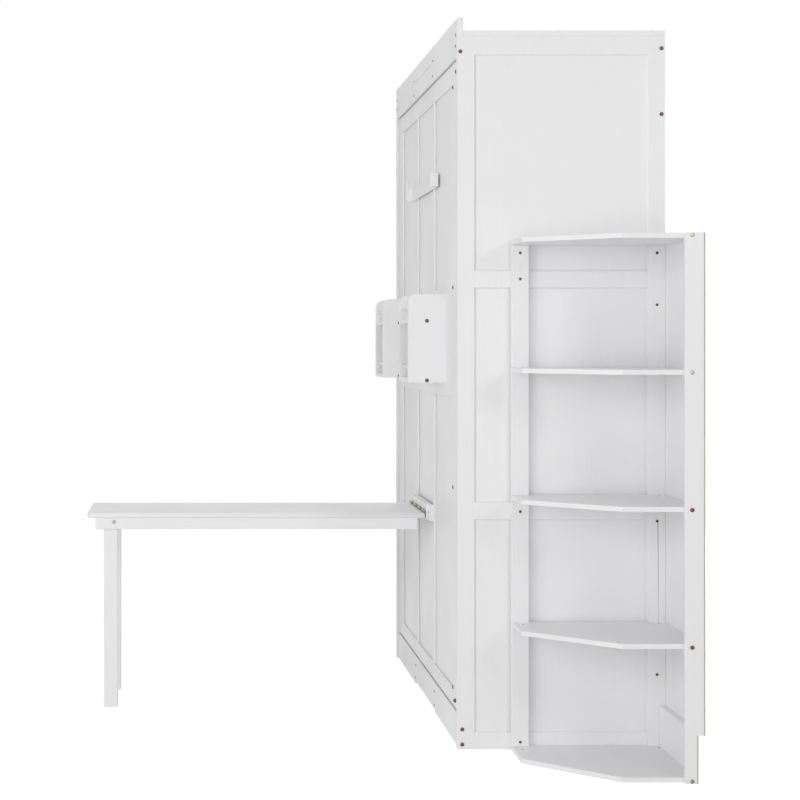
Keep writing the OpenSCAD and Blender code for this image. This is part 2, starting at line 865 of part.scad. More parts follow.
// Bed front
module bed_panel_set(grow) {
    y = face_y + panel_recess;
    for (c = bed_columns, r = bed_rows)
        block([c[0] - groove_depth - grow, c[1] + groove_depth + grow],
            [y - grow / 2, y + panel_t + grow / 2],
            [r[0] - groove_depth - grow, r[1] + groove_depth + grow]);
}

module bed_bolt_spots() {
    for (z = bearer_bolt_zs)
        facing_front([bearer_bolt_x, face_y, z]) children();
    for (z = corner_bolt_zs)
        facing_front([corner_bolt_x, face_y, z]) children();
}

module bed_bolt_holes() {
    bed_bolt_spots() shank_hole(bolt_r, board_t + rail_t - blind);
}

// The bed front's bolts, and the screws in the batten's ears
module bed_bolts() {
    color(bronze) both_sides() {
        bed_bolt_spots() bolt(board_t + rail_t - blind);
        ear_screw_spot() screw(batten_ear_t + board_t - blind);
    }
}

// A flat member of the bed front, with the grooves for the panels
module bed_member(x, z) {
    difference() {
        block(x, [face_y, bed_back_y], z);
        bed_panel_set(panel_gap);
        both_sides() {
            bed_bolt_holes();
            ear_screw_hole();
        }
    }
}

module bed_right_stile() {
    color(paint) bed_member([stile_x, bed_x], [bed_low, bed_top]);
}

module bed_left_stile() {
    color(paint) bed_member([-bed_x, -stile_x], [bed_low, bed_top]);
}

module bed_top_rail() {
    color(paint) bed_member([-stile_x, stile_x], [bed_top - bed_top_rail_h, bed_top]);
}

module bed_middle_rail() {
    color(paint) bed_member([-stile_x, stile_x], [bed_mid_rail_z, bed_mid_rail_z + bed_mid_rail_h]);
}

module bed_bottom_rail() {
    color(paint) bed_member([-stile_x, stile_x], [bed_low, bed_low + bed_low_rail_h]);
}

module bed_muntins() {
    color(paint)
        for (s = [-1, 1], r = bed_rows)
            bed_member([s * muntin_x - muntin_w / 2, s * muntin_x + muntin_w / 2], r);
}

module bed_panels() {
    color(paint) bed_panel_set(0);
}

// The box round the mattress, behind the bed front
module side_board() {
    difference() {
        block([box_in, box_x], [bed_back_y, box_back], [bed_low, box_top]);
        along_x([box_in - over, pivot_y, pivot_z], bush_r + run_gap, bed_box_t + 2 * over);
    }
}

module bed_right_side_board() {
    color(paint) side_board();
}

module bed_left_side_board() {
    color(paint) mirror([1, 0, 0]) side_board();
}

module end_board(z) {
    difference() {
        block([-box_in, box_in], [bed_back_y, box_back], [z, z + board_t]);
        both_sides() bed_bolt_holes();
    }
}

module bed_head_board() {
    color(paint) end_board(inside_z[1]);
}

module bed_foot_board() {
    color(paint) end_board(bed_low);
}

// Two bearers beside the bed front's stiles and one down the middle
module slat_bearers() {
    color(pine) difference() {
        union() {
            both_sides() block([stile_x, stile_x + bearer_w], [bed_back_y, bearer_y], inside_z);
            block([-bearer_w / 2, bearer_w / 2], [bed_back_y, bearer_y], inside_z);
        }
        both_sides() bed_bolt_holes();
    }
}

module slats() {
    pitch = (inside_z[1] - inside_z[0] - slat_w) / (slat_count - 1);
    color(pine)
        for (i = [0 : slat_count - 1])
            block([-box_in + slat_gap, box_in - slat_gap], [bearer_y, bearer_y + slat_t],
                [inside_z[0] + i * pitch, inside_z[0] + i * pitch + slat_w]);
}

// Blocks in the box's lower corners, each held by a bolt through the bed front
module bed_corner_blocks() {
    color(pine) both_sides() difference() {
        block([stile_x + bearer_w, box_in], [bed_back_y, bearer_y],
            [inside_z[0], bed_low + 2 * corner_bolt_low]);
        bed_bolt_holes();
    }
}

// Racks
module rod_place(z) {
    translate([rack_x + rack_t - rod_seat, rack_front + rod_back, z + rack_t + rod_rise]) children();
}

module rack_board(x) {
    difference() {
        translate([x, 0, 0]) rotate([90, 0, 90]) linear_extrude(rack_t) rack_profile();
        rack_bolt_holes();
        for (z = rack_shelf_zs)
            rod_place(z) along_x([-end_gap, 0, 0], rod_r + hole_gap, rod_l + 2 * end_gap);
    }
}

module rack_profile() {
    translate([rack_front, rack_z]) square([rack_d, rack_h - rack_corner_r]);
    translate([rack_front + rack_corner_r, rack_z]) square([rack_d - rack_corner_r, rack_h]);
    translate([rack_front + rack_corner_r, rack_z + rack_h - rack_corner_r]) circle(r = rack_corner_r);
}

module rack_bolt_spots() {
    for (z = rack_shelf_zs)
        translate([0, face_y - rack_d / 2, z + rack_t / 2]) {
            translate([rack_out, 0, 0]) rotate([0, 90, 0]) children();
            translate([rack_x, 0, 0]) rotate([0, -90, 0]) children();
        }
}

module rack_bolt_holes() {
    rack_bolt_spots() shank_hole(bolt_r, rack_t + bite);
}

module rack_boards() {
    color(paint) both_sides() {
        rack_board(rack_x);
        rack_board(rack_out - rack_t);
    }
}

module rack_shelves() {
    color(paint) both_sides() difference() {
        for (z = rack_shelf_zs)
            block([rack_x + rack_t, rack_out - rack_t], [rack_front + rack_shelf_back, face_y],
                [z, z + rack_t]);
        rack_bolt_holes();
    }
}

module rack_rods() {
    color(paint) both_sides()
        for (z = rack_shelf_zs)
            rod_place(z) along_x([0, 0, 0], rod_r, rod_l);
}

module rack_bolts() {
    color(bronze) both_sides() rack_bolt_spots() bolt(rack_t + bite);
}

// Batten with the hinges on its face, thin screwed ears and a rounded lower edge
module batten_profile() {
    front = face_y - batten_t;
    translate([front, batten_low + batten_round_r]) square([batten_t, batten_h - batten_round_r]);
    translate([front + batten_round_r, batten_low]) square([batten_t - batten_round_r, batten_h]);
    translate([front + batten_round_r, batten_low + batten_round_r]) circle(r = batten_round_r);
}

module ear_screw_spot() {
    facing_front([ear_x - ear_screw_in, face_y - batten_ear_t, batten_low + ear_screw_up]) children();
}

module ear_screw_hole() {
    ear_screw_spot() shank_hole(screw_r, batten_ear_t + board_t - blind);
}

module desk_batten() {
    color(paint) difference() {
        union() {
            translate([-batten_x, 0, 0]) rotate([90, 0, 90]) linear_extrude(2 * batten_x) batten_profile();
            block([-ear_x, ear_x], [face_y - batten_ear_t, face_y], [batten_low, batten_top]);
        }
        both_sides() ear_screw_hole();
    }
}

// Bar with a bracket at each end, level with the folded desk's end: the left bracket has an upturned lip
module desk_rest() {
    bracket = [bracket_x, bracket_x + bracket_w];
    front = face_y - bracket_d;
    color(paint) union() {
        block([-bracket_x, bracket_x], [face_y - rest_t, face_y], rest_z);
        both_sides() block(bracket, [front, face_y], rest_z);
        block([-bracket[1], -bracket[0]], [front, front + lip_t], [rest_z[0], rest_z[1] + lip_h]);
    }
}

// Hinges, drawn round their own axis: their leaves hang closed between the desk's edge and the batten,
// with the outer knuckles on the batten's leaf and the middle knuckle on the desk's
module hinge_places() {
    for (i = [0 : hinge_count - 1])
        translate([(i - (hinge_count - 1) / 2) * hinge_pitch, axis_y, axis_z]) children();
}

module hinge_bore() {
    along_x([-hinge_w, 0, 0], hinge_pin_r + run_gap, 2 * hinge_w);
}

module hinge_wall_leaves() {
    leaf_y = [axis_off - leaf_t, axis_off];
    color(brass) hinge_places() difference() {
        union() {
            block([-hinge_w / 2, hinge_w / 2], leaf_y, [-leaf_l, -knuckle_r]);
            for (x = [-hinge_w / 2, hinge_w / 4]) {
                along_x([x, 0, 0], knuckle_r, hinge_w / 4);
                block([x, x + hinge_w / 4], leaf_y, [-knuckle_r, knuckle_r / 2]);
            }
        }
        hinge_bore();
    }
}

module hinge_desk_leaves() {
    half = hinge_w / 4 - fit_gap;
    leaf_y = [axis_off - leaf_gap, axis_off - leaf_gap + leaf_t];
    color(brass) hinge_places() difference() {
        union() {
            block([-hinge_w / 2, hinge_w / 2], leaf_y, [-leaf_l, -axis_off]);
            along_x([-half, 0, 0], knuckle_r, 2 * half);
            block([-half, half], leaf_y, [-axis_off, -knuckle_r / 2]);
        }
        hinge_bore();
    }
}

module hinge_pins() {
    color(brass) hinge_places() along_x([-hinge_w / 2, 0, 0], hinge_pin_r, hinge_w);
}

// Desk top with its two outer corners rounded
module desk_top() {
    w = desk_w / 2;
    l = desk_edge_y - desk_end_y;
    r = desk_corner_r;
    color(paint) translate([0, desk_end_y, desk_under]) linear_extrude(desk_t) {
        translate([-w, r]) square([2 * w, l - r]);
        translate([-w + r, 0]) square([2 * (w - r), l]);
        for (x = [-w + r, w - r])
            translate([x, r]) circle(r = r);
    }
}

module leg_bolt_spot() {
    facing_x([apron_x, leg_pivot_y, leg_pivot_z]) children();
}

// Two long aprons and two short ones between them
module desk_aprons() {
    z = [desk_under - apron_h, desk_under];
    color(paint) difference() {
        union() {
            both_sides() block([apron_in, apron_x], apron_y, z);
            block([-apron_in, apron_in], [apron_y[0], apron_y[0] + apron_t], z);
            block([-apron_in, apron_in], [apron_y[1] - apron_t, apron_y[1]], z);
        }
        both_sides() leg_bolt_spot() shank_hole(leg_pin_r, leg_bolt_l);
    }
}

// A leg, rounded at the top about its own pivot so that it can fold under the desk
module leg() {
    difference() {
        translate([leg_x - leg_w, leg_pivot_y, leg_pivot_z]) rotate([90, 0, 90]) linear_extrude(leg_w) {
            translate([leg_top_r - leg_w, -leg_pivot_z]) square([leg_w, leg_pivot_z]);
            translate([leg_top_r - leg_w, -over]) square([leg_w - leg_top_r, leg_top_r + over]);
            circle(r = leg_top_r);
        }
        along_x([leg_x - leg_w - over, leg_pivot_y, leg_pivot_z], leg_pin_r + run_gap, leg_w + 2 * over);
    }
}

module desk_right_leg() {
    color(paint) leg();
}

module desk_left_leg() {
    color(paint) mirror([1, 0, 0]) leg();
}

module leg_bolts() {
    color(steel) both_sides() leg_bolt_spot() bolt(leg_bolt_l, leg_pin_r);
}

right_side_frame();
right_side_panels();
left_side_frame();
left_side_panels();
top_board();
crown_left();
crown_middle();
crown_right();
kick_left();
kick_middle();
kick_right();
joining_blocks();
upper_wall_rail();
lower_wall_rail();
bed_stops();
side_bolts();
top_bolts();
front_screws();
pivot_pins();
shelf_front_cleat();
shelf_rear_cleat();
shelf_post();
shelf(0);  // shelf_1
shelf(1);  // shelf_2
shelf(2);  // shelf_3
shelf(3);  // shelf_4
shelf(4);  // shelf_5
shelf_back_panels();
shelf_bolts();
cleat_screws();
bed_left_stile();
bed_right_stile();
bed_top_rail();
bed_middle_rail();
bed_bottom_rail();
bed_muntins();
bed_panels();
bed_left_side_board();
bed_right_side_board();
bed_head_board();
bed_foot_board();
slat_bearers();
slats();
pivot_bushes();
bed_corner_blocks();
bed_bolts();
rack_boards();
rack_shelves();
rack_rods();
rack_bolts();
desk_batten();
desk_rest();
hinge_wall_leaves();
hinge_desk_leaves();
hinge_pins();
desk_top();
desk_aprons();
desk_left_leg();
desk_right_leg();
leg_bolts();
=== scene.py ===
"""Looks of a wall bed with a fold down desk, two small racks and a shelf unit at its right side.

The boards are planed pine and panel board under white satin paint. The hardware is bronze, brass and zinc
plated steel, and the slats and rails that nobody sees are bare pine.
"""
import math
import random

import bmesh
import bpy
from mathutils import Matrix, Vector


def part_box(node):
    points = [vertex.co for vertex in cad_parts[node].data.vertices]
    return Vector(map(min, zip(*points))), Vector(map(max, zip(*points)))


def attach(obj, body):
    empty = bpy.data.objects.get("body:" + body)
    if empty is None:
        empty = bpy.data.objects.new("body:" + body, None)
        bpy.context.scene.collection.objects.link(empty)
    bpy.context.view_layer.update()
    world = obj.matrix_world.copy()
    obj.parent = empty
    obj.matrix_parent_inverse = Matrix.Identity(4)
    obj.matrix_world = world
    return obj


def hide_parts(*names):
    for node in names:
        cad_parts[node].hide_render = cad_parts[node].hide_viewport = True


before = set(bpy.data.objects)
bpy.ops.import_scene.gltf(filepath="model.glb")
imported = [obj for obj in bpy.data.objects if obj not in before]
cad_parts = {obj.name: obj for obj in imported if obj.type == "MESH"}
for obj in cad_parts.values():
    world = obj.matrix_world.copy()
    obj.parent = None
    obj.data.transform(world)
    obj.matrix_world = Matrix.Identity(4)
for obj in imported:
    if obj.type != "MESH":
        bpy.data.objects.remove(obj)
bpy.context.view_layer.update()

bl_info = {
    "name": "Wall bed with fold down desk",
    "version": (1, 0, 0),
    "blender": (4, 5, 0),
    "location": "3D View > Sidebar > Wall bed",
    "description": "Paints, rounds and details the wall bed and sets up its studio",
    "category": "Object",
}

MM = 0.001
AXES = {"x": 0, "y": 1, "z": 2}
SAME_POINT = 0.01 * MM  # points nearer than this are one point
FLAT = math.radians(1)  # faces that turn less than this are one face
EASED = math.radians(30)  # edges that turn more than this are rounded
SHARP = math.radians(35)  # edges that turn more than this stay sharp in the shading
WAVE_REPEAT = 0.314  # metres from one wave to the next in a wave texture at scale 1
FACING = 0.7  # a face looks along an axis when its normal has more than this of it
BOARD_STEP = (3.1, 5.3, 7.7)  # the pattern moves by a part of this from board to board, in metres
RING_DRAW = 0.06  # pine's rings are drawn out along the board by one over this
CORNER_STEPS = 12  # straight pieces in each of the desk's round corners

# Painted boards by the direction of their grain
PAINTED = {
    "x": ("top_board", "crown_left", "crown_middle", "crown_right", "kick_left", "kick_middle",
          "kick_right", "bed_top_rail", "bed_middle_rail", "bed_bottom_rail", "bed_head_board",
          "bed_foot_board", "rack_shelves", "rack_rods", "desk_batten", "desk_rest"),
    "y": ("desk_aprons", "shelf_1", "shelf_2", "shelf_3", "shelf_4", "shelf_5"),
    "z": ("right_side_frame", "left_side_frame", "right_side_panels", "left_side_panels",
          "bed_left_stile", "bed_right_stile", "bed_muntins", "bed_panels", "bed_left_side_board",
          "bed_right_side_board", "rack_boards", "shelf_front_cleat", "shelf_rear_cleat", "desk_left_leg",
          "desk_right_leg"),
}
# Bare pine pieces by the direction of their grain
BARE = {
    "x": ("joining_blocks", "upper_wall_rail", "lower_wall_rail", "bed_stops", "slats"),
    "z": ("slat_bearers", "bed_corner_blocks"),
}
# Furniture bolts: piece, CAD node, body, slot, finish, and a test that picks the piece's bolts among the
# node's, by their count from the lowest, which is 0, and by their place
BOLTS = (("domed_side_bolts", "side_bolts", "cabinet", "bronze_steel", "bronze", lambda i, at: True),
         ("domed_top_bolts", "top_bolts", "cabinet", "bronze_steel", "bronze", lambda i, at: True),
         ("domed_bed_bolts", "bed_bolts", "bed", "bronze_steel", "bronze", lambda i, at: at.x > 0),
         ("painted_bed_bolts", "bed_bolts", "bed", "white_paint", "paint_z", lambda i, at: at.x < 0),
         ("domed_rack_bolts", "rack_bolts", "bed", "bronze_steel", "bronze", lambda i, at: True),
         ("domed_leg_bolts", "leg_bolts", "desk", "plain_steel", "zinc", lambda i, at: True),
         ("brass_post_bolts", "shelf_bolts", "cabinet", "brass", "brass", lambda i, at: i in (3, 4)),
         ("dark_post_bolt", "shelf_bolts", "cabinet", "brass", "hinge_brass", lambda i, at: i == 0),
         ("bronze_post_bolts", "shelf_bolts", "cabinet", "bronze_steel", "bronze", lambda i, at: i in (1, 2)))
# Wood screws: CAD node and body
SCREWS = (("front_screws", "cabinet"), ("cleat_screws", "cabinet"))
HINGE_METAL = ("hinge_wall_leaves", "hinge_desk_leaves", "hinge_pins", "pivot_bushes")
# A domed head from its seat to its top, in parts of its radius and its height
DOME = ((1.0, 0.0), (1.0, 0.25), (0.93, 0.62), (0.8, 0.86), (0.6, 1.0))
SHANK_TIP = 0.5  # radius of a shank's tip, in parts of the shank's
RECESS_FLOOR = 0.94  # radius of a recess at its floor, in parts of its own
RECESS_POINT = 0.15  # how far the drill's point goes below that floor, in parts of the same
CROSS_ARM = 0.24  # half the width of a cross's arm, in parts of the cross's radius
CROSS_DEPTH = 0.9  # depth of a wood screw's cross, in parts of its head's height
FLAT_DOME = 0.35 * MM  # height of a countersunk head above the wood
FLAT_CROSS = 0.9 * MM  # depth of the cross in it
FLAT_SHANK_R = 0.5  # radius of a countersunk screw's shank, in parts of the head's
FLAT_CROSS_R = 0.6  # radius of its cross, in parts of the same
BOLT_SEED = 5  # chance turns of the bolts' sockets
SCREW_SEED = 11  # chance turns of the screws' crosses
# Soft lamps of the studio: name, place and side, in metres
LAMPS = (("key", (5.0, 1.8, 2.8), 0.9), ("front", (7.5, -1.5, 1.6), 4.0),
         ("left", (5.0, -5.8, 1.6), 4.0), ("top", (0.6, -0.9, 6.0), 4.0),
         ("back", (-4.5, 3.5, 2.0), 3.0))
LAMP_AIM = (0.6, -0.9, 1.1)  # the middle of the piece
CAMERA_PLACE = (6.49, -1.525, 1.3095)  # in metres: off the right side, half way up the piece
CAMERA_SHIFT = (0.266, -0.076)  # in parts of the picture's width
FLOOR_DROP = 0.2 * MM  # the floor lies this far under the feet, so that they don't share a plane
FLOOR_GLOW = 0.88  # the floor's own white for the camera
FLOOR_SHADE = 0.3  # how strongly the camera sees light and shadow on the floor


def linear(code):
    """Turns an sRGB hex colour into linear red, green and blue."""
    parts = [int(code[i:i + 2], 16) / 255 for i in (1, 3, 5)]
    return tuple(c / 12.92 if c <= 0.04045 else ((c + 0.055) / 1.055) ** 2.4 for c in parts)


def length(name, description, default):
    """A size in metres that a user may change."""
    return bpy.props.FloatProperty(name=name, description=description, default=default, min=0,
                                   precision=5, subtype="DISTANCE", unit="LENGTH")


def colour(name, description, code):
    """A colour that a user may change."""
    return bpy.props.FloatVectorProperty(name=name, description=description, default=linear(code),
                                         size=3, min=0, max=1, subtype="COLOR")


def power(name, description, default):
    """A lamp's power that a user may change."""
    return bpy.props.FloatProperty(name=name, description=description, default=default, min=0,
                                   subtype="POWER", unit="POWER")


class WallBedColours(bpy.types.PropertyGroup):
    """Colours of the finishes."""
    paint: colour("Paint", "White satin paint where it lies thick", "#F3F3F4")
    paint_thin: colour("Thin paint", "The same paint where it is rolled thin", "#F0F0F1")
    pine: colour("Pine", "Early wood of bare pine", "#E2C79C")
    pine_ring: colour("Pine rings", "Late wood of bare pine", "#C99F68")
    knot: colour("Knots", "Knots of bare pine", "#8A5A34")
    board: colour("Hardboard", "Rough face and edges of hardboard", "#CABCAD")
    board_fibre: colour("Hardboard fibres", "Dark fibres of hardboard", "#A9957F")
    bronze: colour("Bronze coating", "Coating of the bolts and screws", "#604536")
    bronze_worn: colour("Thin bronze", "The same coating where it is thin", "#84624B")
    brass: colour("Brass colour", "Coating of the post's bolts", "#C7BB9B")
    brass_dull: colour("Dull brass", "The same coating where it has dulled", "#A89C7D")
    hinge: colour("Hinge brass", "Darker coating of hinges, bushes and lowest post bolt", "#A1977C")
    hinge_dull: colour("Dull hinge brass", "The same coating where it has dulled", "#857A5F")
    zinc: colour("Zinc", "Plating of the leg bolts", "#B4B0A9")
    zinc_dull: colour("Dull zinc", "The same plating where it has dulled", "#96928B")
    steel: colour("Steel", "Turned steel of the pivot pins", "#B9BBBD")


class WallBedSizes(bpy.types.PropertyGroup):
    """Sizes of edges and fixings."""
    frame_edge: length("Side frame edge", "Easing of the side frames' edges", 0.6 * MM)
    board_edge: length("Board edge", "Rounding of the other boards' edges", 1.5 * MM)
    leg_edge: length("Leg edge", "Rounding of the desk's legs and the rest", 2.5 * MM)
    pine_edge: length("Bare edge", "Easing of bare pine edges", 1.0 * MM)
    metal_edge: length("Metal edge", "Easing of the hinges' edges", 0.25 * MM)
    desk_edge: length("Desk edge", "Rounding of the desk's long edges and end", 5.5 * MM)
    desk_hinge_edge: length("Desk hinge edge", "Rounding of the desk's edge at the hinges", 1.5 * MM)
    desk_corner: length("Desk corner", "Radius of the desk's two front corners", 26 * MM)
    bolt_head_h: length("Bolt head", "Height of a furniture bolt's head", 2.5 * MM)
    bolt_socket_r: length("Bolt socket", "Radius of a furniture bolt's socket", 2.6 * MM)
    bolt_socket_d: length("Socket depth", "Depth of that socket in bronze", 1.4 * MM)
    brass_socket_d: length("Brass socket", "Depth of that socket in brass", 2.8 * MM)
    cap_h: length("Cap head", "Height of the head of the bed front's lowest bolt on the right", 8 * MM)
    screw_head_h: length("Screw head", "Height of a wood screw's head", 1.5 * MM)
    screw_cross_r: length("Screw cross", "Radius of a wood screw's cross", 2.3 * MM)
    flat_screw_r: length("Flat screw", "Head radius of a countersunk screw", 3.4 * MM)
    flat_screw_l: length("Flat screw length", "Length of a countersunk screw", 14 * MM)
    shelf_screw_out: length("Shelf screw", "Distance of a shelf's screws from the cleats", 42 * MM)


class WallBedStudio(bpy.types.PropertyGroup):
    """The studio round the piece."""
    floor_size: length("Floor", "Side of the floor", 30.0)
    lens: bpy.props.FloatProperty(name="Lens", description="Focal length", default=79.8, min=1,
                                  subtype="DISTANCE_CAMERA")
    sky: bpy.props.FloatProperty(name="Room light", description="Light from all round", default=0.355,
                                 min=0)
    key: power("Key light", "Power of the lamp behind the shelf unit, which gives the shadows", 23.0)
    front: power("Front light", "Power of the wide lamp at the camera", 73.0)
    left: power("Left light", "Power of the wide lamp to the left of the camera", 149.0)
    top: power("Top light", "Power of the wide lamp above the piece", 60.0)
    back: power("Back light", "Power of the wide lamp behind the piece, on its left", 120.0)


# ---------------------------------------------------------------- materials

def add(tree, kind, inputs=None, **settings):
    """Adds a node with its settings, and sets or links its inputs."""
    node = tree.nodes.new("ShaderNode" + kind)
    for name, value in settings.items():
        setattr(node, name, value)
    for key, value in (inputs or {}).items():
        if isinstance(value, bpy.types.NodeSocket):
            tree.links.new(value, node.inputs[key])
        else:
            node.inputs[key].default_value = value
    return node


def empty_material(name):
    """A new material without nodes, and its node tree."""
    material = bpy.data.materials.new(name)
    material.use_nodes = True
    material.node_tree.nodes.clear()
    return material, material.node_tree


def rgba(value):
    """A colour as a colour socket takes it, with full alpha."""
    return (*value, 1.0)


def piece_place(tree):
    """Where a point lies on its own board: object space, moved by a different step for each board."""
    place = add(tree, "TexCoord").outputs["Object"]
    step = add(tree, "VectorMath", {0: add(tree, "NewGeometry").outputs["Random Per Island"],
                                    1: BOARD_STEP}, operation="MULTIPLY").outputs[0]
    return add(tree, "VectorMath", {0: place, 1: step}, operation="ADD").outputs[0]


def streaks(tree, place, along, across, run):
    """Noise drawn out along the grain: across and run are its sizes in metres."""
    scale = [1 / across] * 3
    scale[AXES[along]] = 1 / run
    at = add(tree, "Mapping", {"Vector": place, "Scale": scale}).outputs[0]
    return add(tree, "TexNoise", {"Vector": at, "Scale": 1.0, "Detail": 4.0,
                                  "Roughness": 0.6}).outputs["Fac"]


def seen_rays(tree):
    """1 for rays from the camera, from a shiny surface or through a clear one, and 0 for others."""
    path = add(tree, "LightPath").outputs
    some = add(tree, "Math", {0: path["Is Camera Ray"], 1: path["Is Glossy Ray"]},
               operation="MAXIMUM").outputs[0]
    return add(tree, "Math", {0: some, 1: path["Is Transmission Ray"]}, operation="MAXIMUM").outputs[0]


def satin_paint(along):
    """White satin acrylic paint, rolled on planed pine. Pine's grain still shows as faint long streaks,
    6 mm apart and 300 mm long, over a roller's orange peel, and the sheen is soft and a little uneven.
    The peel is really 1 mm wide and is drawn 5 mm wide, because it doesn't show otherwise."""
    colours = bpy.context.scene.wall_bed_colours
    material, tree = empty_material(f"satin_paint_rolled_on_pine_{along}")
    place = piece_place(tree)
    grain = streaks(tree, place, along, 6 * MM, 300 * MM)
    peel = add(tree, "TexNoise", {"Vector": place, "Scale": 1 / (5 * MM), "Detail": 2.0}).outputs["Fac"]
    cloud = add(tree, "TexNoise", {"Vector": place, "Scale": 1 / (280 * MM), "Detail": 3.0}).outputs["Fac"]
    thin = add(tree, "Math", {0: grain, 1: cloud}, operation="MULTIPLY").outputs[0]
    thin = add(tree, "MapRange", {"Value": thin, "From Min": 0.12, "From Max": 0.38}).outputs[0]
    base = add(tree, "Mix", {0: thin, 6: rgba(colours.paint), 7: rgba(colours.paint_thin)},
               data_type="RGBA").outputs[2]
    rough = add(tree, "MapRange", {"Value": cloud, "From Min": 0.3, "From Max": 0.7, "To Min": 0.36,
                                   "To Max": 0.46}).outputs[0]
    fine = add(tree, "Bump", {"Height": peel, "Strength": 0.3, "Distance": 0.02 * MM}).outputs[0]
    bump = add(tree, "Bump", {"Height": grain, "Strength": 0.4, "Distance": 0.03 * MM,
                              "Normal": fine}).outputs[0]
    shader = add(tree, "BsdfPrincipled", {"Base Color": base, "Roughness": rough, "IOR": 1.5,
                                          "Normal": bump})
    add(tree, "OutputMaterial", {"Surface": shader.outputs[0]})
    return material


def planed_pine(along):
    """Bare pine, planed. Late wood rings 6 mm apart run along the board, with fine fibres between them
    and a knot here and there, and the surface is dull."""
    colours = bpy.context.scene.wall_bed_colours
    material, tree = empty_material(f"pine_planed_bare_{along}")
    place = piece_place(tree)
    scale = [1.0] * 3
    scale[AXES[along]] = RING_DRAW
    heart = add(tree, "Mapping", {"Vector": place, "Scale": scale}).outputs[0]
    # 52 rings in the wave's 0.314 m
    ring = add(tree, "TexWave", {"Vector": heart, "Scale": 52.0, "Distortion": 5.0, "Detail": 2.0,
                                 "Detail Scale": 0.35, "Detail Roughness": 0.5},
               wave_type="RINGS", rings_direction=along.upper(), wave_profile="SAW").outputs["Fac"]
    fibre = streaks(tree, place, along, 1.4 * MM, 60 * MM)
    spot_scale = [1 / (110 * MM)] * 3
    spot_scale[AXES[along]] = 1 / (330 * MM)
    spots = add(tree, "Mapping", {"Vector": place, "Scale": spot_scale}).outputs[0]
    spot = add(tree, "TexVoronoi", {"Vector": spots, "Scale": 1.0}).outputs["Distance"]
    knot = add(tree, "MapRange", {"Value": spot, "From Min": 0.09, "From Max": 0.05}).outputs[0]
    late = add(tree, "Math", {0: ring, 1: 2.2}, operation="POWER").outputs[0]
    late = add(tree, "Math", {0: late, 1: fibre, 2: 0.12}, operation="MULTIPLY_ADD").outputs[0]
    wood = add(tree, "Mix", {0: late, 6: rgba(colours.pine), 7: rgba(colours.pine_ring)},
               data_type="RGBA").outputs[2]
    wood = add(tree, "Mix", {0: knot, 6: wood, 7: rgba(colours.knot)}, data_type="RGBA").outputs[2]
    bump = add(tree, "Bump", {"Height": fibre, "Strength": 0.5, "Distance": 0.15 * MM}).outputs[0]
    rough = add(tree, "MapRange", {"Value": late, "To Min": 0.66, "To Max": 0.52}).outputs[0]
    shader = add(tree, "BsdfPrincipled", {"Base Color": wood, "Roughness": rough, "IOR": 1.5,
                                          "Normal": bump})
    add(tree, "OutputMaterial", {"Surface": shader.outputs[0]})
    return material


def hardboard():
    """Hardboard, pressed from wood fibres: white lacquer on the faces that look into the shelves, and
    bare brown fibres, up to 12 mm long, on the back and the edges."""
    colours = bpy.context.scene.wall_bed_colours
    material, tree = empty_material("hardboard_pressed")
    place = add(tree, "TexCoord").outputs["Object"]
    fibre = streaks(tree, place, "z", 1.5 * MM, 12 * MM)
    fibre = add(tree, "MapRange", {"Value": fibre, "From Min": 0.35, "From Max": 0.7}).outputs[0]
    brown = add(tree, "Mix", {0: fibre, 6: rgba(colours.board), 7: rgba(colours.board_fibre)},
                data_type="RGBA").outputs[2]
    facing = add(tree, "NewGeometry").outputs["True Normal"]
    parts = add(tree, "SeparateXYZ", {0: facing}).outputs
    to_room = add(tree, "Math", {0: parts[1], 1: -FACING}, operation="LESS_THAN").outputs[0]
    upward = add(tree, "Math", {0: parts[2], 1: FACING}, operation="GREATER_THAN").outputs[0]
    inner = add(tree, "Math", {0: to_room, 1: upward}, operation="MAXIMUM").outputs[0]
    base = add(tree, "Mix", {0: inner, 6: brown, 7: rgba(colours.paint)}, data_type="RGBA").outputs[2]
    rough = add(tree, "MapRange", {"Value": inner, "To Min": 0.75, "To Max": 0.42}).outputs[0]
    deep = add(tree, "MapRange", {"Value": inner, "To Min": 0.2 * MM, "To Max": 0.0}).outputs[0]
    bump = add(tree, "Bump", {"Height": fibre, "Strength": 0.5, "Distance": deep}).outputs[0]
    shader = add(tree, "BsdfPrincipled", {"Base Color": base, "Roughness": rough, "IOR": 1.5,
                                          "Normal": bump})
    add(tree, "OutputMaterial", {"Surface": shader.outputs[0]})
    return material


def coated_metal(name, full, worn, low, high):
    """A metal coating that differs a little from spot to spot, about 2 mm across."""
    material, tree = empty_material(name)
    place = piece_place(tree)
    cloud = add(tree, "TexNoise", {"Vector": place, "Scale": 1 / (2 * MM), "Detail": 3.0}).outputs["Fac"]
    spread = add(tree, "MapRange", {"Value": cloud, "From Min": 0.35, "From Max": 0.7}).outputs[0]
    base = add(tree, "Mix", {0: spread, 6: rgba(full), 7: rgba(worn)}, data_type="RGBA").outputs[2]
    rough = add(tree, "MapRange", {"Value": cloud, "From Min": 0.3, "From Max": 0.7, "To Min": low,
                                   "To Max": high}).outputs[0]
    bump = add(tree, "Bump", {"Height": cloud, "Strength": 0.4, "Distance": 0.02 * MM}).outputs[0]
    shader = add(tree, "BsdfPrincipled", {"Base Color": base, "Metallic": 1.0, "Roughness": rough,
                                          "Normal": bump})
    add(tree, "OutputMaterial", {"Surface": shader.outputs[0]})
    return material


def bronzed_steel():
    """Steel, bronze plated and barrelled: dark red brown, satin, lighter where the plating is thin."""
    colours = bpy.context.scene.wall_bed_colours
    return coated_metal("steel_bronze_plated", colours.bronze, colours.bronze_worn, 0.32, 0.46)


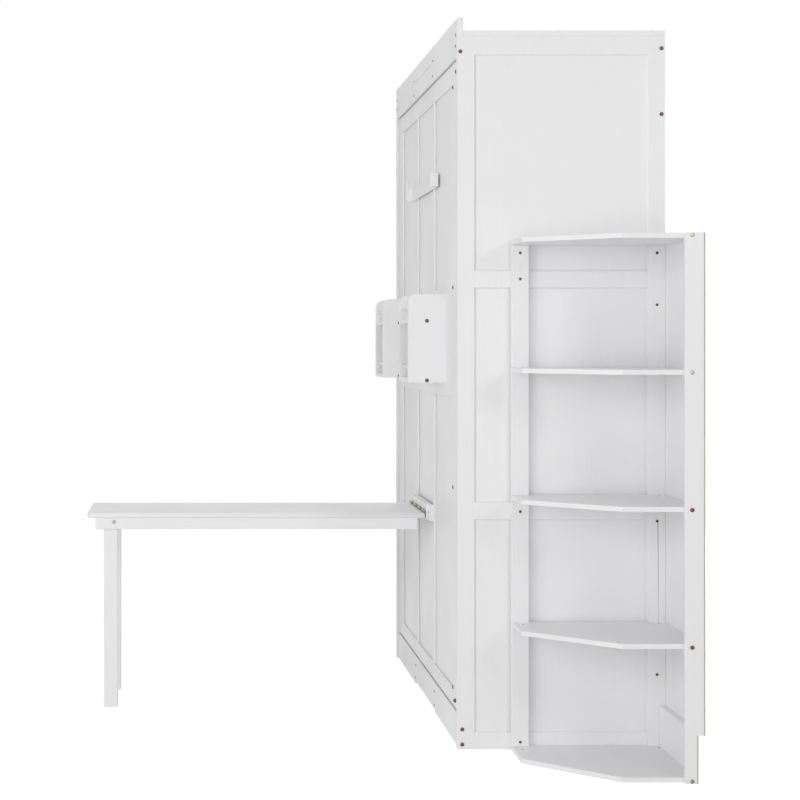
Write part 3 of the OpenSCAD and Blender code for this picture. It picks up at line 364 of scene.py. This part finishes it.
def yellow_steel():
    """Steel, brass plated: yellow, satin, a little duller in patches."""
    colours = bpy.context.scene.wall_bed_colours
    return coated_metal("steel_brass_plated", colours.brass, colours.brass_dull, 0.26, 0.4)


def hinge_steel():
    """Steel, rolled and brass plated, then darkened: a grey yellow, duller than the bolts."""
    colours = bpy.context.scene.wall_bed_colours
    return coated_metal("steel_brass_darkened", colours.hinge, colours.hinge_dull, 0.3, 0.46)


def zinc_steel():
    """Steel, zinc plated and tumbled: light grey, satin, a little darker in patches."""
    colours = bpy.context.scene.wall_bed_colours
    return coated_metal("steel_zinc_plated", colours.zinc, colours.zinc_dull, 0.28, 0.42)


def turned_steel():
    """Bare steel, turned: fine rings round the pin, 0.2 mm apart and drawn 0.8 mm apart to show."""
    colours = bpy.context.scene.wall_bed_colours
    material, tree = empty_material("steel_turned")
    place = add(tree, "TexCoord").outputs["Object"]
    rings = add(tree, "TexWave", {"Vector": place, "Scale": WAVE_REPEAT / (0.8 * MM), "Distortion": 0.4},
                bands_direction="X").outputs["Fac"]
    rough = add(tree, "MapRange", {"Value": rings, "To Min": 0.24, "To Max": 0.36}).outputs[0]
    bump = add(tree, "Bump", {"Height": rings, "Strength": 0.3, "Distance": 0.02 * MM}).outputs[0]
    shader = add(tree, "BsdfPrincipled", {"Base Color": rgba(colours.steel), "Metallic": 1.0,
                                          "Roughness": rough, "Normal": bump})
    add(tree, "OutputMaterial", {"Surface": shader.outputs[0]})
    return material


MAKERS = {
    "paint_x": lambda: satin_paint("x"), "paint_y": lambda: satin_paint("y"),
    "paint_z": lambda: satin_paint("z"), "pine_x": lambda: planed_pine("x"),
    "pine_z": lambda: planed_pine("z"), "hardboard": hardboard, "bronze": bronzed_steel,
    "brass": yellow_steel, "hinge_brass": hinge_steel, "zinc": zinc_steel, "turned": turned_steel,
}
made = {}


def finish_of(name):
    """The material of that name, made when it is first asked for."""
    if name not in made:
        made[name] = MAKERS[name]()
    return made[name]


# ---------------------------------------------------------------- pieces

def clothe(node, name):
    """Gives a CAD node one of the materials."""
    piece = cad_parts[node]
    for place in piece.material_slots:
        place.material = finish_of(name)


def ease(piece, width, segments=2):
    """Rounds a piece's edges by modifiers, which leave its own mesh as it is."""
    skin = piece.modifiers.new("one_skin", "WELD")
    skin.merge_threshold = SAME_POINT
    flats = piece.modifiers.new("whole_faces", "DECIMATE")
    flats.decimate_type = "DISSOLVE"
    flats.angle_limit = FLAT
    edges = piece.modifiers.new("eased_edges", "BEVEL")
    edges.width = width
    edges.segments = segments
    edges.limit_method = "ANGLE"
    edges.angle_limit = EASED
    edges.use_clamp_overlap = False
    light = piece.modifiers.new("even_light", "WEIGHTED_NORMAL")
    light.keep_sharp = False
    for face in piece.data.polygons:
        face.use_smooth = True


def new_piece(name, bm, body, finish, replaced=()):
    """Makes a piece from a built mesh, which rides on a body and may stand for CAD nodes."""
    bmesh.ops.recalc_face_normals(bm, faces=bm.faces)
    for face in bm.faces:
        face.smooth = True
    for edge in bm.edges:
        edge.smooth = len(edge.link_faces) == 2 and edge.calc_face_angle() < SHARP
    mesh = bpy.data.meshes.new(name)
    bm.to_mesh(mesh)
    bm.free()
    mesh.materials.append(finish_of(finish))
    piece = bpy.data.objects.new(name, mesh)
    bpy.context.scene.collection.objects.link(piece)
    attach(piece, body)
    if replaced:
        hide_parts(*replaced)
    return piece


def solids(node):
    """The corner points of each solid in a CAD node, one list for each."""
    bm = bmesh.new()
    bm.from_mesh(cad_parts[node].data)
    bmesh.ops.remove_doubles(bm, verts=bm.verts, dist=SAME_POINT)
    seen, found = set(), []
    for first in bm.verts:
        if first in seen:
            continue
        seen.add(first)
        group = [first]
        for vert in group:
            for edge in vert.link_edges:
                other = edge.other_vert(vert)
                if other not in seen:
                    seen.add(other)
                    group.append(other)
        found.append([vert.co.copy() for vert in group])
    bm.free()
    return found


def corners(points):
    """Lowest and highest corner of a list of points."""
    return tuple(Vector([pick(p[i] for p in points) for i in range(3)]) for pick in (min, max))


def sides(bm, rings):
    """The faces between each ring of points and the next one."""
    for low, high in zip(rings, rings[1:]):
        for i in range(len(low)):
            j = (i + 1) % len(low)
            bm.faces.new((low[i], low[j], high[j], high[i]))


def outline(angle, arms, size):
    """Distance from the middle to the edge of a six sided socket or a cross, in that direction."""
    part = 2 * math.pi / arms
    off = abs((angle + part / 2) % part - part / 2)
    if arms == 6:
        return size * math.cos(part / 2) / math.cos(part / 2 - off)
    return min(size / math.cos(off), size * CROSS_ARM / max(math.sin(off), 1e-6))


def fastener(bm, seat, axis, turn, head, shank, recess, points=48):
    """A turned head and shank: head is its radius and height, shank its radius and length, and recess
    the radius, depth and number of arms of the socket or cross in the head."""
    radius, height = head
    shank_r, shank_l = shank
    recess_r, recess_d, arms = recess
    side = axis.orthogonal().normalized()
    other = axis.cross(side)
    taper = min(shank_r, shank_l / 4)
    stations = [(shank_r * SHANK_TIP, -shank_l, 0), (shank_r, taper - shank_l, 0), (shank_r, 0, 0)]
    stations += [(radius * out, height * up, 0) for out, up in DOME]
    stations += [(recess_r, height, arms), (recess_r * RECESS_FLOOR, height - recess_d, arms)]
    rings = []
    for r, h, shape in stations:
        ring = []
        for i in range(points):
            angle = 2 * math.pi * i / points
            reach = outline(angle, shape, r) if shape else r
            spin = angle + turn
            outward = side * math.cos(spin) + other * math.sin(spin)
            ring.append(bm.verts.new(seat + axis * h + outward * reach))
        rings.append(ring)
    sides(bm, rings)
    bm.faces.new(list(reversed(rings[0])))
    deep = bm.verts.new(seat + axis * (height - recess_d - recess_r * RECESS_POINT))
    for i in range(points):
        bm.faces.new((rings[-1][i], rings[-1][(i + 1) % points], deep))


def read_fastener(points, head_h):
    """Seat, direction, head radius, shank radius and shank length of a CAD bolt or screw."""
    low, high = corners(points)
    size = high - low
    long_axis = max(range(3), key=lambda i: size[i])
    middle = (low + high) / 2
    axis = Vector([float(i == long_axis) for i in range(3)])
    reach = {}
    for end, sign in ((high, 1), (low, -1)):
        near = [p for p in points if abs(p[long_axis] - end[long_axis]) < head_h * 1.01]
        reach[sign] = max(((p - middle) - axis * (p - middle)[long_axis]).length for p in near)
    sign = max(reach, key=reach.get)
    axis *= sign
    seat = middle + axis * (size[long_axis] / 2 - head_h)
    return seat, axis, reach[sign], reach[-sign], size[long_axis] - head_h


def flat_screws(name, spots, body):
    """Countersunk cross head screws, flush with what they hold: spots are places and directions."""
    sizes = bpy.context.scene.wall_bed_sizes
    turns = random.Random(name)
    bm = bmesh.new()
    head_r = sizes.flat_screw_r
    for seat, axis in spots:
        fastener(bm, seat, axis, turns.uniform(0, math.pi), (head_r, FLAT_DOME),
                 (head_r * FLAT_SHANK_R, sizes.flat_screw_l), (head_r * FLAT_CROSS_R, FLAT_CROSS, 4),
                 points=32)
    new_piece(name, bm, body, "bronze")


class WALLBED_OT_boards(bpy.types.Operator):
    """Paint the white boards and round their edges"""
    bl_idname = "wall_bed.boards"
    bl_label = "Painted boards"

    def execute(self, context):
        sizes = context.scene.wall_bed_sizes
        widths = {"right_side_frame": sizes.frame_edge, "left_side_frame": sizes.frame_edge,
                  "desk_left_leg": sizes.leg_edge, "desk_right_leg": sizes.leg_edge,
                  "desk_rest": sizes.leg_edge}
        for along, nodes in PAINTED.items():
            for node in nodes:
                clothe(node, "paint_" + along)
                ease(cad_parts[node], widths.get(node, sizes.board_edge))
        return {"FINISHED"}


class WALLBED_OT_bare_wood(bpy.types.Operator):
    """Give the rails, slats and blocks their bare pine, and the shelf backs their hardboard"""
    bl_idname = "wall_bed.bare_wood"
    bl_label = "Bare pine and hardboard"

    def execute(self, context):
        sizes = context.scene.wall_bed_sizes
        for along, nodes in BARE.items():
            for node in nodes:
                clothe(node, "pine_" + along)
                ease(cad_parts[node], sizes.pine_edge)
        clothe("shelf_back_panels", "hardboard")
        return {"FINISHED"}


class WALLBED_OT_desk_top(bpy.types.Operator):
    """Build the desk top with its rounded edges and corners"""
    bl_idname = "wall_bed.desk_top"
    bl_label = "Desk top"

    def execute(self, context):
        sizes = context.scene.wall_bed_sizes
        low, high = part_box("desk_top")
        r = sizes.desk_corner
        rim = [(high.x, high.y), (low.x, high.y)]
        for cx, first in ((low.x + r, math.pi), (high.x - r, 1.5 * math.pi)):
            for i in range(CORNER_STEPS + 1):
                angle = first + math.pi / 2 * i / CORNER_STEPS
                rim.append((cx + r * math.cos(angle), low.y + r + r * math.sin(angle)))
        bm = bmesh.new()
        rings = [[bm.verts.new((x, y, z)) for x, y in rim] for z in (low.z, high.z)]
        bm.faces.new(rings[0])
        bm.faces.new(list(reversed(rings[1])))
        sides(bm, rings)
        weight = bm.edges.layers.float.new("bevel_weight_edge")
        for ring in rings:
            for i, vert in enumerate(ring):
                edge = bm.edges.get((vert, ring[(i + 1) % len(ring)]))
                edge[weight] = sizes.desk_hinge_edge / sizes.desk_edge if i == 0 else 1.0
        piece = new_piece("desk_top_board", bm, "desk", "paint_y", ["desk_top"])
        for edge in piece.data.edges:
            edge.use_edge_sharp = False
        edges = piece.modifiers.new("rounded_edges", "BEVEL")
        edges.width = sizes.desk_edge
        edges.segments = 5
        edges.limit_method = "WEIGHT"
        edges.use_clamp_overlap = False
        light = piece.modifiers.new("even_light", "WEIGHTED_NORMAL")
        light.keep_sharp = False
        return {"FINISHED"}


class WALLBED_OT_post(bpy.types.Operator):
    """Build the shelf unit's post, notched for the skirting board"""
    bl_idname = "wall_bed.post"
    bl_label = "Shelf post"

    def execute(self, context):
        low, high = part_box("shelf_post")
        points = [vert.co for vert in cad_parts["shelf_post"].data.vertices]
        notch_y = max(p.y for p in points if p.z < low.z + MM)
        notch_z = min(p.z for p in points if p.y > high.y - MM)
        rim = [(low.y, low.z), (notch_y, low.z), (notch_y, notch_z), (high.y, notch_z),
               (high.y, high.z), (low.y, high.z)]
        bm = bmesh.new()
        rings = [[bm.verts.new((x, y, z)) for y, z in rim] for x in (low.x, high.x)]
        bm.faces.new(list(reversed(rings[0])))
        bm.faces.new(rings[1])
        sides(bm, rings)
        piece = new_piece("post_board", bm, "cabinet", "paint_z", ["shelf_post"])
        ease(piece, context.scene.wall_bed_sizes.board_edge)
        return {"FINISHED"}


class WALLBED_OT_bolts(bpy.types.Operator):
    """Build the furniture bolts with domed heads and six sided sockets"""
    bl_idname = "wall_bed.bolts"
    bl_label = "Furniture bolts"

    def execute(self, context):
        sizes = context.scene.wall_bed_sizes
        turns = random.Random(BOLT_SEED)
        for name, node, body, slot, finish, chosen in BOLTS:
            shapes = sorted(solids(node), key=lambda points: corners(points)[0].z)
            lowest = corners(shapes[0])[1].z
            deep = sizes.brass_socket_d if finish == "brass" else sizes.bolt_socket_d
            bm = bmesh.new()
            for i, points in enumerate(shapes):
                seat, axis, head_r, shank_r, shank_l = read_fastener(points, sizes.bolt_head_h)
                if not chosen(i, seat):
                    continue
                capped = name == "domed_bed_bolts" and seat.z < lowest
                high = sizes.cap_h if capped else sizes.bolt_head_h
                fastener(bm, seat, axis, turns.uniform(0, math.pi), (head_r, high),
                         (shank_r, shank_l), (sizes.bolt_socket_r, deep, 6))
            new_piece(name, bm, body, finish, [node])
        return {"FINISHED"}


class WALLBED_OT_screws(bpy.types.Operator):
    """Build the wood screws with cross heads"""
    bl_idname = "wall_bed.screws"
    bl_label = "Wood screws"

    def execute(self, context):
        sizes = context.scene.wall_bed_sizes
        turns = random.Random(SCREW_SEED)
        for node, body in SCREWS:
            bm = bmesh.new()
            for points in solids(node):
                seat, axis, head_r, shank_r, shank_l = read_fastener(points, sizes.screw_head_h)
                fastener(bm, seat, axis, turns.uniform(0, math.pi), (head_r, sizes.screw_head_h),
                         (shank_r, shank_l), (sizes.screw_cross_r, sizes.screw_head_h * CROSS_DEPTH, 4))
            new_piece("cross_" + node, bm, body, "bronze", [node])
        return {"FINISHED"}


class WALLBED_OT_hinges(bpy.types.Operator):
    """Finish the hinges and the bed's pivots"""
    bl_idname = "wall_bed.hinges"
    bl_label = "Hinges and pivots"

    def execute(self, context):
        for node in HINGE_METAL:
            clothe(node, "hinge_brass")
        for node in ("hinge_wall_leaves", "hinge_desk_leaves"):
            ease(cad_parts[node], context.scene.wall_bed_sizes.metal_edge, 1)
        clothe("pivot_pins", "turned")
        return {"FINISHED"}


class WALLBED_OT_hidden_screws(bpy.types.Operator):
    """Add the screws that hold the slats on their bearers and the shelves at their cleats"""
    bl_idname = "wall_bed.hidden_screws"
    bl_label = "Slat and shelf screws"

    def execute(self, context):
        sizes = context.scene.wall_bed_sizes
        bearers = [corners(points) for points in solids("slat_bearers")]
        spots = []
        for points in solids("slats"):
            low, high = corners(points)
            for start, end in bearers:
                middle = Vector(((start.x + end.x) / 2, high.y, (low.z + high.z) / 2))
                spots.append((middle, Vector((0, 1, 0))))
        flat_screws("slat_screws", spots, "bed")
        spots = []
        for cleat, out in (("shelf_front_cleat", 1.0), ("shelf_rear_cleat", 0.5)):
            low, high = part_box(cleat)
            for shelf in ("shelf_1", "shelf_2", "shelf_3", "shelf_4"):
                spots.append((Vector((high.x + out * sizes.shelf_screw_out, (low.y + high.y) / 2,
                                      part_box(shelf)[1].z)), Vector((0, 0, 1))))
        flat_screws("shelf_screws", spots, "cabinet")
        return {"FINISHED"}


class WALLBED_OT_stage(bpy.types.Operator):
    """Set up floor, lights and camera"""
    bl_idname = "wall_bed.stage"
    bl_label = "Studio"

    def execute(self, context):
        scene = context.scene
        studio = scene.wall_bed_studio
        scene.view_settings.view_transform = "Standard"

        # The room: even light for the piece, plain white where the camera or a shiny surface sees it
        world = bpy.data.worlds.new("white_room")
        world.use_nodes = True
        tree = world.node_tree
        tree.nodes.clear()
        seen = seen_rays(tree)
        strength = add(tree, "MapRange", {"Value": seen, "To Min": studio.sky, "To Max": 1.0}).outputs[0]
        light = add(tree, "Background", {"Color": (1, 1, 1, 1), "Strength": strength})
        add(tree, "OutputWorld", {"Surface": light.outputs[0]})
        scene.world = world

        # The floor: matt and pale, with a white glow of its own for the camera that keeps a soft shadow
        material, tree = empty_material("floor_paper_matt")
        seen = seen_rays(tree)
        grain = add(tree, "TexNoise", {"Scale": 1 / (40 * MM), "Detail": 2.0}).outputs["Fac"]
        pale = add(tree, "MapRange", {"Value": grain, "To Min": 0.88, "To Max": 0.9}).outputs[0]
        plain = add(tree, "BsdfDiffuse", {"Color": pale})
        shade = add(tree, "BsdfDiffuse", {"Color": rgba([FLOOR_SHADE] * 3)})
        glow = add(tree, "Emission", {"Color": (1, 1, 1, 1), "Strength": FLOOR_GLOW})
        shown = add(tree, "AddShader", {0: shade.outputs[0], 1: glow.outputs[0]})
        both = add(tree, "MixShader", {0: seen, 1: plain.outputs[0], 2: shown.outputs[0]})
        add(tree, "OutputMaterial", {"Surface": both.outputs[0]})
        half = studio.floor_size / 2
        bm = bmesh.new()
        square = ((-half, -half), (half, -half), (half, half), (-half, half))
        bm.faces.new([bm.verts.new((x, y, -FLOOR_DROP)) for x, y in square])
        mesh = bpy.data.meshes.new("floor")
        bm.to_mesh(mesh)
        bm.free()
        mesh.materials.append(material)
        floor = bpy.data.objects.new("floor", mesh)
        scene.collection.objects.link(floor)

        for name, place, size in LAMPS:
            lamp_data = bpy.data.lights.new(name, "AREA")
            lamp_data.shape = "SQUARE"
            lamp_data.size = size
            lamp_data.energy = getattr(studio, name)
            lamp = bpy.data.objects.new(name, lamp_data)
            scene.collection.objects.link(lamp)
            lamp.location = place
            aim = Vector(LAMP_AIM) - lamp.location
            lamp.rotation_euler = aim.to_track_quat("-Z", "Y").to_euler()
            lamp.visible_camera = False

        camera_data = bpy.data.cameras.new("camera")
        camera_data.sensor_width = 36
        camera_data.lens = studio.lens
        camera_data.shift_x, camera_data.shift_y = CAMERA_SHIFT
        camera_data.clip_end = 100
        camera = bpy.data.objects.new("camera", camera_data)
        scene.collection.objects.link(camera)
        camera.location = CAMERA_PLACE
        camera.rotation_euler = (math.radians(90), 0, math.radians(90))
        scene.camera = camera
        return {"FINISHED"}


STEPS = (WALLBED_OT_boards, WALLBED_OT_bare_wood, WALLBED_OT_desk_top, WALLBED_OT_post, WALLBED_OT_bolts,
         WALLBED_OT_screws, WALLBED_OT_hinges, WALLBED_OT_hidden_screws, WALLBED_OT_stage)
GROUPS = (("wall_bed_colours", WallBedColours), ("wall_bed_sizes", WallBedSizes),
          ("wall_bed_studio", WallBedStudio))


class WALLBED_PT_sidebar(bpy.types.Panel):
    """Lists the sizes, the colours and the steps"""
    bl_idname = "WALLBED_PT_sidebar"
    bl_label = "Wall bed"
    bl_space_type = "VIEW_3D"
    bl_region_type = "UI"
    bl_category = "Wall bed"

    def draw(self, context):
        for name, group in GROUPS:
            box = self.layout.box()
            for field in group.__annotations__:
                box.prop(getattr(context.scene, name), field)
        for step in STEPS:
            self.layout.operator(step.bl_idname)


def register():
    for name, group in GROUPS:
        bpy.utils.register_class(group)
        setattr(bpy.types.Scene, name, bpy.props.PointerProperty(type=group))
    for kind in (*STEPS, WALLBED_PT_sidebar):
        bpy.utils.register_class(kind)


def unregister():
    for kind in reversed((*STEPS, WALLBED_PT_sidebar)):
        bpy.utils.unregister_class(kind)
    for name, group in reversed(GROUPS):
        delattr(bpy.types.Scene, name)
        bpy.utils.unregister_class(group)


def main():
    register()
    for step in STEPS:
        getattr(bpy.ops.wall_bed, step.bl_idname.split(".")[1])()


if __name__ == "__main__":
    main()
